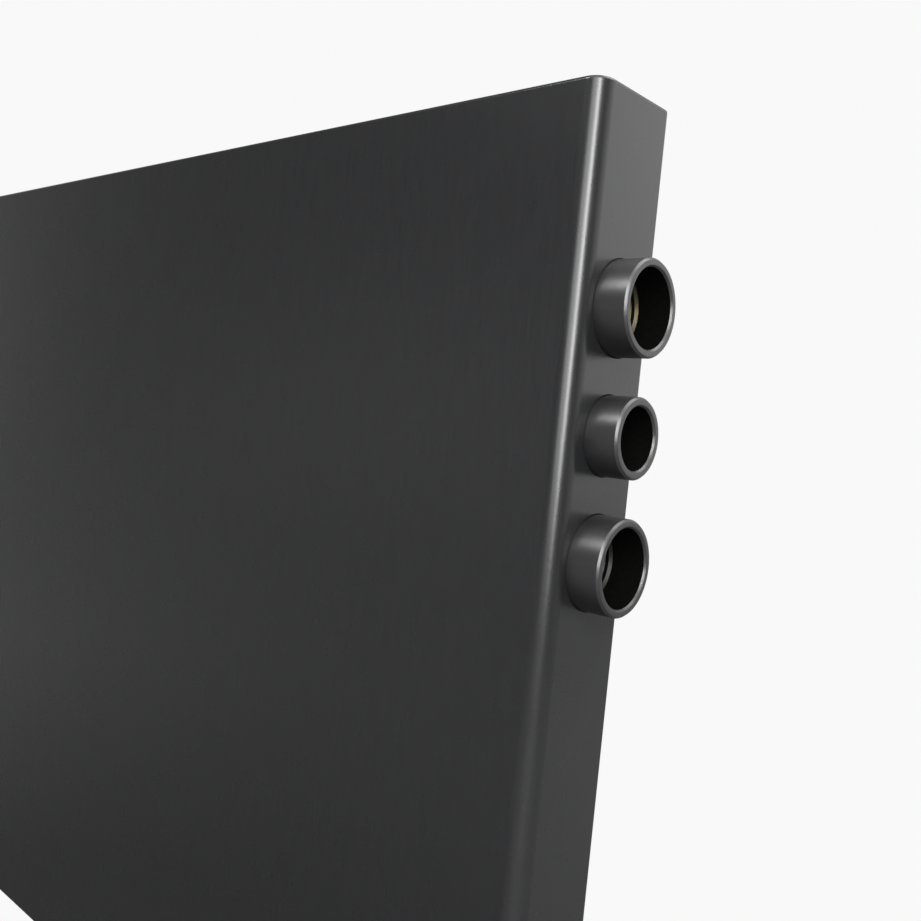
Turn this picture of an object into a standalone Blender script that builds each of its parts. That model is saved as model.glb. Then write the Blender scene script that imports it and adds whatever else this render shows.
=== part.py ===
"""Cased flat-tube water radiator, wall hung, with three open ports on its right side.

Metres, +Z up. The origin is the centre of the wall rail's back face: +Y points into the wall,
the plain front looks along -Y, and the ports point along +X.
"""
import math

import bmesh
import bpy

# Casing: a folded steel tray with rounded bends, open at the back.
WIDTH = 0.700
HEIGHT = 0.600
DEPTH = 0.063
SHEET = 0.0015
SIDE_BEND = 0.0105
EDGE_BEND = 0.0022
FLANGE = 0.016
RAIL_DROP = 0.055
WALL_GAP = 0.030
FIT = 0.0003

SIDE = WIDTH / 2
TOP = RAIL_DROP
BOTTOM = TOP - HEIGHT
BACK = -WALL_GAP
FRONT = BACK - DEPTH
MIDDLE = FRONT + 0.035

# Air slots in the casing's top and bottom, and the lift-off grille in the top one.
SLOT_HALF_X = 0.322
SLOT_HALF_Y = 0.017
GRILLE_FLANGE = 0.0020
GRILLE_SHEET = 0.0010
GRILLE_BAR_DEPTH = 0.0060

# Water side: two upright headers joined by flat tubes, with a folded convector sheet behind them.
HEADER_INNER = 0.290
HEADER_OUTER = 0.326
HEADER_FRONT = -0.084
HEADER_BACK = -0.035
HEADER_TOP = TOP - 0.030
HEADER_BOTTOM = BOTTOM + 0.030
HEADER_WALL = 0.0025
CAP = 0.003
TUBE_COUNT = 7
TUBE_TALL = 0.070
TUBE_DEEP = 0.011
TUBE_WALL = 0.0015
TUBE_PITCH = 0.074
TUBE_Y = -0.0755
FIRST_TUBE_Z = HEADER_TOP - 0.048
FOLD_PITCH = 0.030
FOLD_BACK = -0.042
BAFFLE_Z = FIRST_TUBE_Z - 1.5 * TUBE_PITCH

# Ports: name, height below the top edge, outer radius, bore radius, depth of the insert's rim.
PORTS = (
    ("flow", 0.106, 0.02415, 0.01980, 0.0180),
    ("service", 0.169, 0.02020, 0.01560, 0.0235),
    ("return", 0.232, 0.02415, 0.01980, 0.0180),
)
PORT_OUT = 0.0175
PORT_HOLE_GAP = 0.0005
BOSS_END = SIDE - 0.007
COLLAR_SHOULDER = SIDE - 0.005
PORT_SIDES = 32

# Wall side: rail, hangers, safety latches and adjustable lower spacers.
RAIL_HALF = 0.250
RAIL_SHEET = 0.002
HANGER_X = 0.200
LATCH_X = 0.150
LATCH_Y = -0.024
BAR_FRONT = -0.0347
BAR_BACK = -0.0318
BAR_END = 0.344
LOWER_Z = BOTTOM + 0.075
SCREW_X = 0.340
ROD_RADIUS = 0.00405

for leftover in list(bpy.data.objects):
    bpy.data.objects.remove(leftover, do_unlink=True)

parts = bpy.data.collections.new("side_port_radiator")
cutters = bpy.data.collections.new("cutters")
bpy.context.scene.collection.children.link(parts)
bpy.context.scene.collection.children.link(cutters)


def paint(name, colour, metallic, roughness):
    """A plain surface with one colour."""
    surface = bpy.data.materials.new(name)
    surface.use_nodes = True
    shader = surface.node_tree.nodes["Principled BSDF"]
    shader.inputs["Base Color"].default_value = (*colour, 1.0)
    shader.inputs["Metallic"].default_value = metallic
    shader.inputs["Roughness"].default_value = roughness
    return surface


def add(name, data, surface=None):
    """Put mesh or curve data in the scene: with a surface it is a piece, without one a cutter."""
    thing = bpy.data.objects.new(name, data)
    if surface is None:
        cutters.objects.link(thing)
        thing.hide_render = True
        thing.display_type = "WIRE"
    else:
        parts.objects.link(thing)
        data.materials.append(paint(name, *surface))
    return thing


def mesh_from(name, shape):
    """Turn a bmesh into a mesh with smooth rounds and sharp corners."""
    data = bpy.data.meshes.new(name)
    shape.to_mesh(data)
    shape.free()
    data.shade_smooth()
    data.set_sharp_from_angle(angle=math.radians(30))
    return data


def block_shape(low, high):
    """A box between two corners."""
    shape = bmesh.new()
    bmesh.ops.create_cube(shape, size=1.0)
    size = [high[i] - low[i] for i in range(3)]
    centre = [(high[i] + low[i]) / 2 for i in range(3)]
    bmesh.ops.scale(shape, vec=size, verts=shape.verts)
    bmesh.ops.translate(shape, vec=centre, verts=shape.verts)
    return shape


def round_edges(shape, chosen, radius, segments):
    """Round the given edges of a bmesh."""
    bmesh.ops.bevel(
        shape, geom=chosen, offset=radius, offset_type="OFFSET", segments=segments,
        profile=0.5, affect="EDGES", clamp_overlap=False,
    )


def edges_along(shape, axis):
    """Edges that run along one axis: 0 for X, 1 for Y, 2 for Z."""
    chosen = []
    for edge in shape.edges:
        run = edge.verts[0].co - edge.verts[1].co
        across = [abs(run[i]) for i in range(3) if i != axis]
        if max(across) < 1e-6:
            chosen.append(edge)
    return chosen


def face_edges(shape, axis, value):
    """Edges of the flat face that lies at one value along an axis."""
    chosen = []
    for edge in shape.edges:
        if all(abs(corner.co[axis] - value) < 1e-6 for corner in edge.verts):
            chosen.append(edge)
    return chosen


def block(name, low, high, surface=None, corners=None):
    """A box piece, or a cutter; corners is (axis, radius, segments) for its rounded edges."""
    shape = block_shape(low, high)
    if corners:
        round_edges(shape, edges_along(shape, corners[0]), corners[1], corners[2])
    return add(name, mesh_from(name, shape), surface)


def drill(name, centre, axis, radius, length, sides=32):
    """A round cutter along X, Y or Z."""
    shape = bmesh.new()
    bmesh.ops.create_cone(
        shape, cap_ends=True, segments=sides, radius1=radius, radius2=radius, depth=length,
    )
    cutter = add(name, mesh_from(name, shape))
    point(cutter, axis, centre)
    return cutter


def point(thing, axis, centre):
    """Turn an object's own Z to X, Y or Z and move it to its place."""
    turns = {"X": (0, math.pi / 2, 0), "Y": (-math.pi / 2, 0, 0), "Z": (0, 0, 0)}
    thing.rotation_euler = turns[axis]
    thing.location = centre


def combine(thing, other, operation="DIFFERENCE"):
    """Cut a cutter out of a piece, or weld it on with UNION."""
    step = thing.modifiers.new(other.name, "BOOLEAN")
    step.operation = operation
    step.object = other
    step.solver = "EXACT"


def turned(name, outline, axis, centre, surface, sides=24, ring=True):
    """A turned piece: the outline's (radius, height) points run down its outer side."""
    shape = bmesh.new()
    corners = [shape.verts.new((radius, 0, height)) for radius, height in outline]
    for first, second in zip(corners, corners[1:]):
        shape.edges.new((first, second))
    if ring:
        shape.edges.new((corners[-1], corners[0]))
    thing = add(name, mesh_from(name, shape), surface)
    spin = thing.modifiers.new("turn", "SCREW")
    spin.steps = sides
    spin.render_steps = sides
    spin.use_merge_vertices = True
    spin.merge_threshold = 0.00001
    point(thing, axis, centre)
    return thing


def folded(name, path, x_low, x_high, thickness, surface, bend=0.0):
    """A folded strip: a (y, z) path swept along X, thickened to its inner side."""
    shape = bmesh.new()
    corners = [shape.verts.new((x_low, y, z)) for y, z in path]
    rims = [shape.edges.new(pair) for pair in zip(corners, corners[1:])]
    swept = bmesh.ops.extrude_edge_only(shape, edges=rims)
    moved = [item for item in swept["geom"] if isinstance(item, bmesh.types.BMVert)]
    bmesh.ops.translate(shape, vec=(x_high - x_low, 0, 0), verts=moved)
    if bend:
        creases = [edge for edge in shape.edges if len(edge.link_faces) == 2]
        round_edges(shape, creases, bend, 3)
    thing = add(name, mesh_from(name, shape), surface)
    shell = thing.modifiers.new("sheet", "SOLIDIFY")
    shell.thickness = thickness
    shell.offset = -1.0
    shell.use_even_offset = True
    return thing


def stadium(half_straight, radius, steps=6):
    """Points round a slot shape whose long side lies along its own X."""
    points = []
    for end in (1, -1):
        for step in range(steps + 1):
            angle = math.pi * (step / steps - 0.5)
            spot = (end * (half_straight + radius * math.cos(angle)), end * radius * math.sin(angle))
            points.append(spot)
    return points


def outline_piece(name, loops, half_thick, surface=None):
    """A flat outline, holes included, thickened along its own Z."""
    data = bpy.data.curves.new(name, "CURVE")
    data.dimensions = "2D"
    data.fill_mode = "BOTH"
    data.extrude = half_thick
    for loop in loops:
        line = data.splines.new("POLY")
        line.points.add(len(loop) - 1)
        for corner, (x, y) in zip(line.points, loop):
            corner.co = (x, y, 0, 1)
        line.use_cyclic_u = True
    return add(name, data, surface)


ANTHRACITE = ((0.030, 0.031, 0.033), 0.0, 0.38)
PRIMED = ((0.045, 0.047, 0.050), 0.0, 0.55)
ZINC = ((0.55, 0.56, 0.57), 1.0, 0.40)
BRASS = ((0.62, 0.47, 0.22), 1.0, 0.32)
STEEL = ((0.50, 0.50, 0.50), 1.0, 0.35)
RUBBER = ((0.020, 0.020, 0.020), 0.0, 0.80)
FIBRE = ((0.10, 0.14, 0.11), 0.0, 0.85)
PLASTIC = ((0.060, 0.060, 0.062), 0.0, 0.60)

# Casing. Two wide upright bends at the front, and tight bends round the top, bottom and back.
tray = block_shape((-SIDE, FRONT, BOTTOM), (SIDE, BACK, TOP))
upright = edges_along(tray, 2)
round_edges(tray, [edge for edge in upright if edge.verts[0].co.y < MIDDLE], SIDE_BEND, 7)
tight = face_edges(tray, 2, TOP) + face_edges(tray, 2, BOTTOM)
tight += [edge for edge in edges_along(tray, 2) if abs(edge.verts[0].co.y - BACK) < 1e-6]
round_edges(tray, tight, EDGE_BEND, 2)
casing = add("casing", mesh_from("casing", tray), ANTHRACITE)
skin = casing.modifiers.new("sheet", "SOLIDIFY")
skin.thickness = SHEET
skin.offset = -1.0
skin.use_even_offset = True
inner_x = SIDE - FLANGE
combine(casing, block(
    "back_opening", (-inner_x, BACK - 0.004, BOTTOM + FLANGE), (inner_x, BACK + 0.004, TOP - FLANGE),
    corners=(1, 0.005, 3),
))
for name, level in (("top_opening", TOP), ("bottom_opening", BOTTOM)):
    low = (-SLOT_HALF_X, MIDDLE - SLOT_HALF_Y, level - 0.004)
    high = (SLOT_HALF_X, MIDDLE + SLOT_HALF_Y, level + 0.004)
    combine(casing, block(name, low, high, corners=(2, 0.003, 2)))
for name, drop, outer, bore, rim in PORTS:
    centre = (SIDE, MIDDLE, TOP - drop)
    hole = drill(name + "_hole", centre, "X", outer + PORT_HOLE_GAP, 0.012, PORT_SIDES)
    combine(casing, hole)

# Lift-off grille: a shallow frame with four rows of slots, its flange resting on the casing's top.
grille_top = TOP + FIT + GRILLE_SHEET
grille = block(
    "top_grille",
    (-SLOT_HALF_X + 0.0005, MIDDLE - SLOT_HALF_Y + 0.0005, grille_top - GRILLE_BAR_DEPTH),
    (SLOT_HALF_X - 0.0005, MIDDLE + SLOT_HALF_Y - 0.0005, grille_top),
    ANTHRACITE,
    corners=(2, 0.0025, 2),
)
combine(grille, block(
    "grille_flange",
    (-SLOT_HALF_X - GRILLE_FLANGE, MIDDLE - SLOT_HALF_Y - GRILLE_FLANGE, TOP + FIT),
    (SLOT_HALF_X + GRILLE_FLANGE, MIDDLE + SLOT_HALF_Y + GRILLE_FLANGE, grille_top),
    corners=(2, 0.004, 3),
), "UNION")
slots = bmesh.new()
for row in range(4):
    for bay in range(6):
        x = (bay - 2.5) * 0.106
        y = MIDDLE + (row - 1.5) * 0.0078
        slot = bmesh.ops.create_cube(slots, size=1.0)
        bmesh.ops.scale(slots, vec=(0.101, 0.0053, 0.020), verts=slot["verts"])
        bmesh.ops.translate(slots, vec=(x, y, TOP), verts=slot["verts"])
combine(grille, add("grille_slots", mesh_from("grille_slots", slots)))

# Headers: square tubes, open at the ends, with a slot for each flat tube.
for side, name in ((1, "header_right"), (-1, "header_left")):
    x_pair = sorted((side * HEADER_INNER, side * HEADER_OUTER))
    shape = block_shape((x_pair[0], HEADER_FRONT, HEADER_BOTTOM), (x_pair[1], HEADER_BACK, HEADER_TOP))
    round_edges(shape, edges_along(shape, 2), 0.004, 3)
    ends = [face for face in shape.faces if abs(face.normal.z) > 0.9]
    bmesh.ops.delete(shape, geom=ends, context="FACES_ONLY")
    header = add(name, mesh_from(name, shape), PRIMED)
    wall = header.modifiers.new("wall", "SOLIDIFY")
    wall.thickness = HEADER_WALL
    wall.offset = -1.0
    wall.use_even_offset = True
    mouths = bmesh.new()
    for index in range(TUBE_COUNT):
        mouth = bmesh.ops.create_cube(mouths, size=1.0)
        bmesh.ops.scale(mouths, vec=(0.008, 0.0072, 0.062), verts=mouth["verts"])
        spot = (side * HEADER_INNER, TUBE_Y, FIRST_TUBE_Z - index * TUBE_PITCH)
        bmesh.ops.translate(mouths, vec=spot, verts=mouth["verts"])
    combine(header, add(name + "_mouths", mesh_from(name + "_mouths", mouths)))
    if side > 0:
        for port, drop, outer, bore, rim in PORTS:
            centre = (HEADER_OUTER, MIDDLE, TOP - drop)
            combine(header, drill(port + "_way", centre, "X", bore - 0.0026, 0.010))

    # End caps, welded on. The left ones are drilled for the air vent and the drain plug.
    caps = (("top", HEADER_TOP + FIT, 0.0065), ("bottom", HEADER_BOTTOM - FIT - CAP, 0.0085))
    for end, level, hole_radius in caps:
        cap = block(
            name + "_" + end + "_cap", (x_pair[0], HEADER_FRONT, level),
            (x_pair[1], HEADER_BACK, level + CAP), PRIMED, corners=(2, 0.004, 3),
        )
        if side < 0:
            centre = (-(HEADER_INNER + HEADER_OUTER) / 2, MIDDLE, level + CAP / 2)
            combine(cap, drill(end + "_cap_hole", centre, "Z", hole_radius, 0.012, 16))

# Flat tubes between the headers.
for index in range(TUBE_COUNT):
    straight = (TUBE_TALL - TUBE_DEEP) / 2
    tube = outline_piece(
        "flat_tube_%d" % (index + 1),
        (stadium(straight, TUBE_DEEP / 2), stadium(straight, TUBE_DEEP / 2 - TUBE_WALL)),
        HEADER_INNER - FIT, PRIMED,
    )
    point(tube, "X", (0, TUBE_Y, FIRST_TUBE_Z - index * TUBE_PITCH))

# Convector sheet: folded to and fro, spot welded to the backs of the tubes.
shape = bmesh.new()
fold_front = TUBE_Y + TUBE_DEEP / 2 + FIT
folds = int(0.540 / FOLD_PITCH)
trace = []
for fold in range(folds):
    start = -0.270 + fold * FOLD_PITCH
    trace += [(start, fold_front), (start + 0.010, fold_front)]
    trace += [(start + 0.014, FOLD_BACK), (start + 0.026, FOLD_BACK)]
corners = [shape.verts.new((x, y, -0.442)) for x, y in trace]
rims = [shape.edges.new(pair) for pair in zip(corners, corners[1:])]
swept = bmesh.ops.extrude_edge_only(shape, edges=rims)
raised = [item for item in swept["geom"] if isinstance(item, bmesh.types.BMVert)]
bmesh.ops.translate(shape, vec=(0, 0, 0.450), verts=raised)
convector = add("convector_sheet", mesh_from("convector_sheet", shape), ZINC)
sheet = convector.modifiers.new("sheet", "SOLIDIFY")
sheet.thickness = 0.0006
sheet.offset = 0.0
sheet.use_even_offset = True
convector.location.y = 0.0004

# Baffle in the right header, which sends the water across before it comes back.
block(
    "header_baffle", (HEADER_INNER + HEADER_WALL + FIT, HEADER_FRONT + HEADER_WALL + FIT, BAFFLE_Z - 0.001),
    (HEADER_OUTER - HEADER_WALL - FIT, HEADER_BACK - HEADER_WALL - FIT, BAFFLE_Z + 0.001),
    STEEL, corners=(2, 0.002, 2),
)

# Ports. A boss welded to the header, a seal, the painted collar outside, and a threaded insert.
for name, drop, outer, bore, rim in PORTS:
    centre = (0, MIDDLE, TOP - drop)
    shank = outer - 0.00165
    hole = shank + FIT
    boss_radius = outer + 0.00215
    start = HEADER_OUTER + FIT
    turned(name + "_boss", (
        (boss_radius - 0.001, BOSS_END), (boss_radius, BOSS_END - 0.001), (boss_radius, start),
        (hole, start), (hole, BOSS_END),
    ), "X", centre, PRIMED)
    turned(name + "_seal", (
        (outer, COLLAR_SHOULDER - FIT), (outer, BOSS_END + FIT),
        (hole, BOSS_END + FIT), (hole, COLLAR_SHOULDER - FIT),
    ), "X", centre, FIBRE)
    mouth = SIDE + PORT_OUT
    inner_end = start + 0.002
    turned(name + "_collar", (
        (outer - 0.0012, mouth), (outer - 0.00035, mouth - 0.00035), (outer, mouth - 0.0012),
        (outer, COLLAR_SHOULDER), (shank, COLLAR_SHOULDER), (shank, inner_end),
        (bore, inner_end), (bore, mouth - 0.0007), (bore + 0.0007, mouth),
    ), "X", centre, ANTHRACITE, PORT_SIDES)
    lip = mouth - rim
    thread = bore - 0.0019
    surface = BRASS if name == "flow" else STEEL
    turned(name + "_insert", (
        (bore - FIT, lip), (bore - FIT, inner_end), (thread, inner_end),
        (thread, lip - 0.0012), (thread + 0.0012, lip),
    ), "X", centre, surface)

# Air vent on the left header: washer, hexagon body, swivelling spout and bleed screw.
vent_x = -(HEADER_INNER + HEADER_OUTER) / 2
vent_base = HEADER_TOP + FIT + CAP
turned("vent_washer", (
    (0.0098, 0.0015), (0.0098, FIT), (0.0066, FIT), (0.0066, 0.0015),
), "Z", (vent_x, MIDDLE, vent_base), FIBRE, 16)
vent = turned("vent_body", (
    (0.0062, 0.0145), (0.0062, 0.0068), (0.0062, -0.0100), (0.0042, -0.0100),
    (0.0042, 0.0010), (0.0031, 0.0022), (0.0031, 0.0145),
), "Z", (vent_x, MIDDLE, vent_base), BRASS, 16)
hexagon = bmesh.new()
bmesh.ops.create_cone(hexagon, cap_ends=True, segments=6, radius1=0.0098, radius2=0.0098, depth=0.005)
collar = add("vent_hexagon", mesh_from("vent_hexagon", hexagon))
collar.location = (vent_x, MIDDLE, vent_base + 0.0043)
eye = drill("vent_hexagon_eye", (vent_x, MIDDLE, vent_base + 0.0043), "Z", 0.0050, 0.020, 16)
combine(collar, eye)
combine(vent, collar, "UNION")
spout = turned("vent_spout", (
    (0.0088, 0.0132), (0.0092, 0.0128), (0.0092, 0.0072), (0.0065, 0.0072), (0.0065, 0.0132),
), "Z", (vent_x, MIDDLE, vent_base), PLASTIC, 16)
pipe = drill("spout_pipe", (0, 0, 0), "Y", 0.0022, 0.0075, 12)
pipe.location = (vent_x, MIDDLE + 0.0118, vent_base + 0.0102)
combine(spout, pipe, "UNION")
outlet = drill("spout_outlet", (vent_x, MIDDLE + 0.0130, vent_base + 0.0102), "Y", 0.0011, 0.0080, 8)
combine(spout, outlet)
bleeder = turned("bleed_screw", (
    (0, 0.0190), (0.0022, 0.0190), (0.0026, 0.0186), (0.0026, 0.0150), (0.0044, 0.0150),
    (0.0044, 0.0148), (0.0028, 0.0148), (0.0028, 0.0034), (0.0010, 0.0024), (0, 0.0024),
), "Z", (vent_x, MIDDLE, vent_base), BRASS, 16, ring=False)
slit_low = (vent_x - 0.0005, MIDDLE - 0.004, vent_base + 0.0178)
slit_high = (vent_x + 0.0005, MIDDLE + 0.004, vent_base + 0.0200)
combine(bleeder, block("bleed_slit", slit_low, slit_high))

# Drain plug in the left header's lower cap.
drain_base = HEADER_BOTTOM - FIT - CAP
turned("drain_washer", (
    (0.0125, -FIT), (0.0125, -0.0018), (0.0086, -0.0018), (0.0086, -FIT),
), "Z", (vent_x, MIDDLE, drain_base), FIBRE, 16)
plug = turned("drain_plug", (
    (0, 0.0100), (0.0074, 0.0100), (0.0082, 0.0092), (0.0082, -0.0021), (0.0120, -0.0021),
    (0.0120, -0.0040), (0.0100, -0.0040), (0.0100, -0.0078), (0, -0.0078),
), "Z", (vent_x, MIDDLE, drain_base), BRASS, 16, ring=False)
socket = bmesh.new()
bmesh.ops.create_cone(socket, cap_ends=True, segments=6, radius1=0.0046, radius2=0.0046, depth=0.008)
key_hole = add("drain_key_hole", mesh_from("drain_key_hole", socket))
key_hole.location = (vent_x, MIDDLE, drain_base - 0.0078)
combine(plug, key_hole)

# Cross bars, welded to the backs of both headers. The upper one has a tab for each safety latch.
upper_bar = block("upper_cross_bar", (-BAR_END, BAR_FRONT, -0.020), (BAR_END, BAR_BACK, 0.020), ZINC)
lower_bar = block(
    "lower_cross_bar", (-BAR_END, BAR_FRONT, LOWER_Z - 0.015), (BAR_END, BAR_BACK, LOWER_Z + 0.015), ZINC,
)
for side, hand in ((1, "right"), (-1, "left")):
    latch_x = side * LATCH_X
    lug = block(
        "latch_lug_" + hand, (latch_x - 0.012, BAR_FRONT + 0.0002, -0.030),
        (latch_x + 0.012, BAR_BACK - 0.0002, -0.018),
    )
    combine(upper_bar, lug, "UNION")
    tab = block(
        "latch_tab_" + hand, (latch_x - 0.010, BAR_FRONT + 0.0006, -0.0266),
        (latch_x + 0.010, -0.0165, -0.0236),
    )
    combine(upper_bar, tab, "UNION")
    combine(upper_bar, drill("latch_eye_" + hand, (latch_x, LATCH_Y, -0.025), "Z", 0.0024, 0.008, 16))
    for bar, level, where in ((upper_bar, 0.0, "upper"), (lower_bar, LOWER_Z, "lower")):
        centre = (side * SCREW_X, BAR_BACK, level)
        combine(bar, drill("bar_hole_%s_%s" % (where, hand), centre, "Y", 0.0022, 0.012, 12))
        flange_hole = drill(
            "flange_hole_%s_%s" % (where, hand), (side * SCREW_X, BACK, level), "Y", 0.0025, 0.008, 12,
        )
        combine(casing, flange_hole)

        # Pan-head screws that hold the casing to the bars.
        screw = turned("casing_screw_%s_%s" % (where, hand), (
            (0, 0.0025), (0.0026, 0.0024), (0.0040, 0.0014), (0.0042, 0.0003),
            (0.0018, 0.0003), (0.0018, -0.0080), (0, -0.0090),
        ), "Y", (side * SCREW_X, BACK, level), ZINC, 12, ring=False)
        recess = (side * SCREW_X, BACK + 0.0025, level)
        low = (recess[0] - 0.0004, recess[1] - 0.0010, recess[2] - 0.0030)
        high = (recess[0] + 0.0004, recess[1] + 0.0010, recess[2] + 0.0030)
        combine(screw, block("screw_slit_%s_%s" % (where, hand), low, high))

    # Safety latch, turned under the rail, and the rivet it turns on.
    arm = [(0.0055 * math.cos(a), 0.0055 * math.sin(a)) for a in
           (math.pi + math.pi * step / 8 for step in range(9))]
    arm += [(0.0048 * math.cos(a), 0.0135 + 0.0048 * math.sin(a)) for a in
            (math.pi * step / 8 for step in range(9))]
    eye_loop = [(0.0024 * math.cos(a), 0.0024 * math.sin(a)) for a in
                (2 * math.pi * step / 16 for step in range(16))]
    latch = outline_piece("safety_latch_" + hand, (arm, eye_loop), 0.0015, ZINC)
    latch.location = (latch_x, LATCH_Y, -0.0218)
    turned("latch_rivet_" + hand, (
        (0, 0.0036), (0.0026, 0.0034), (0.0038, 0.0021), (0.0021, 0.0018), (0.0021, -0.0051),
        (0.0036, -0.0051), (0.0030, -0.0066), (0, -0.0070),
    ), "Z", (latch_x, LATCH_Y, -0.0218), STEEL, 16, ring=False)

    # Hanger, hooked over the rail's lip with a soft pad between them.
    hang_low, hang_high = side * HANGER_X - 0.015, side * HANGER_X + 0.015
    folded("hanger_" + hand, (
        (-0.0315, -0.018), (-0.0315, 0.0091), (-0.0089, 0.0091), (-0.0089, -0.012),
    ), hang_low, hang_high, 0.003, ZINC, 0.0042)
    folded("rail_pad_" + hand, (
        (-0.0178, -0.006), (-0.0178, 0.0058), (-0.0122, 0.0058), (-0.0122, -0.006),
    ), hang_low - 0.002, hang_high + 0.002, 0.0015, PLASTIC, 0.0022)

    # Adjustable spacer: a captive thumb nut drives a foot that rests on the wall.
    spacer_low, spacer_high = side * HANGER_X - 0.010, side * HANGER_X + 0.010
    bracket = folded("spacer_bracket_" + hand, (
        (-0.0315, LOWER_Z - 0.015), (-0.0315, LOWER_Z + 0.017),
        (-0.0160, LOWER_Z + 0.017), (-0.0160, LOWER_Z - 0.015),
    ), spacer_low, spacer_high, 0.002, ZINC, 0.0028)
    spot = (side * HANGER_X, -0.025, LOWER_Z)
    combine(bracket, drill("spacer_eye_" + hand, spot, "Y", 0.0045, 0.030, 16))
    combine(lower_bar, drill("rod_way_" + hand, spot, "Y", 0.0050, 0.030, 16))
    nut = turned("thumb_nut_" + hand, (
        (0.0118, 0.0047), (0.0130, 0.0035), (0.0130, -0.0035), (0.0118, -0.0047),
        (0.0044, -0.0047), (0.0044, 0.0047),
    ), "Y", (side * HANGER_X, -0.02375, LOWER_Z), PLASTIC, 16)
    flutes = bmesh.new()
    for turn in range(8):
        angle = 2 * math.pi * (turn + 0.5) / 8
        flute = bmesh.ops.create_cone(
            flutes, cap_ends=True, segments=6, radius1=0.0016, radius2=0.0016, depth=0.020,
        )
        spot = (0.0134 * math.cos(angle), 0.0134 * math.sin(angle), 0)
        bmesh.ops.translate(flutes, vec=spot, verts=flute["verts"])
    flute_cutter = add("nut_flutes_" + hand, mesh_from("nut_flutes_" + hand, flutes))
    point(flute_cutter, "Y", (side * HANGER_X, -0.02375, LOWER_Z))
    combine(nut, flute_cutter)
    turned("spacer_foot_" + hand, (
        (0, -0.0030), (0.0150, -0.0030), (0.0150, -0.0050), (0.0070, -0.0068),
        (ROD_RADIUS, -0.0068), (ROD_RADIUS, -0.0490), (0.0034, -0.0500), (0, -0.0500),
    ), "Y", (side * HANGER_X, 0, LOWER_Z), STEEL, 20, ring=False)
    turned("foot_pad_" + hand, (
        (0, 0), (0.0143, 0), (0.0150, -0.0007), (0.0150, -0.0027), (0, -0.0027),
    ), "Y", (side * HANGER_X, 0, LOWER_Z), RUBBER, 20, ring=False)

# Wall rail: a folded hook section with four slots for the wall screws.
rail = folded("wall_rail", (
    (0, 0.020), (0, -0.020), (-0.016, -0.020), (-0.016, 0.004),
), -RAIL_HALF, RAIL_HALF, RAIL_SHEET, ZINC, 0.003)
for number, x in enumerate((-0.220, -0.070, 0.070, 0.220)):
    slot = block(
        "rail_slot_%d" % (number + 1), (x - 0.010, -0.004, 0.003), (x + 0.010, 0.002, 0.010),
        corners=(1, 0.00345, 3),
    )
    combine(rail, slot)
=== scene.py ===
import math

import bmesh
import bpy
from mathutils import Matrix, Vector


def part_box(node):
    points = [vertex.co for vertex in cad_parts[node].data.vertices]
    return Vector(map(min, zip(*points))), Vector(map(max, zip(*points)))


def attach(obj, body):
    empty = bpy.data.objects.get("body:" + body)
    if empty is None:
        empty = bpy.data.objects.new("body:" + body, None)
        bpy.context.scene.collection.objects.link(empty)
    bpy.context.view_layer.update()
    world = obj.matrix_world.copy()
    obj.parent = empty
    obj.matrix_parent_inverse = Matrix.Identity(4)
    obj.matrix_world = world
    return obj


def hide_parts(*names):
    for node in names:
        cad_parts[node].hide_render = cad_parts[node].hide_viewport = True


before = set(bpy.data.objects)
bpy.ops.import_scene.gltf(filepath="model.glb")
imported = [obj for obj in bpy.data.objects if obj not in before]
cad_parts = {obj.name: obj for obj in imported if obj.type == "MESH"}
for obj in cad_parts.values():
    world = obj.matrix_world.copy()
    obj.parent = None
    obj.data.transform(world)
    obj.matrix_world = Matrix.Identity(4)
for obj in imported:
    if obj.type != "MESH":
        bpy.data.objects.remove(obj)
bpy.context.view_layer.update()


# ---- Camera -----------------------------------------------------------------------------------
# Stands close to the radiator's upper right corner, a little below its top edge, and looks across
# the plain front at the side with the ports.
camera = bpy.data.objects.new("corner_camera", bpy.data.cameras.new("corner_camera"))
bpy.context.scene.collection.objects.link(camera)
camera.location = (0.6030, -0.4854, -0.1170)
camera.rotation_euler = (math.radians(89.20), math.radians(-5.72), math.radians(45.41))
camera.data.sensor_width = 36.0
camera.data.lens = 38.07
camera.data.shift_x = 0.120
camera.data.shift_y = -0.033
camera.data.clip_start = 0.01
bpy.context.scene.camera = camera


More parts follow.
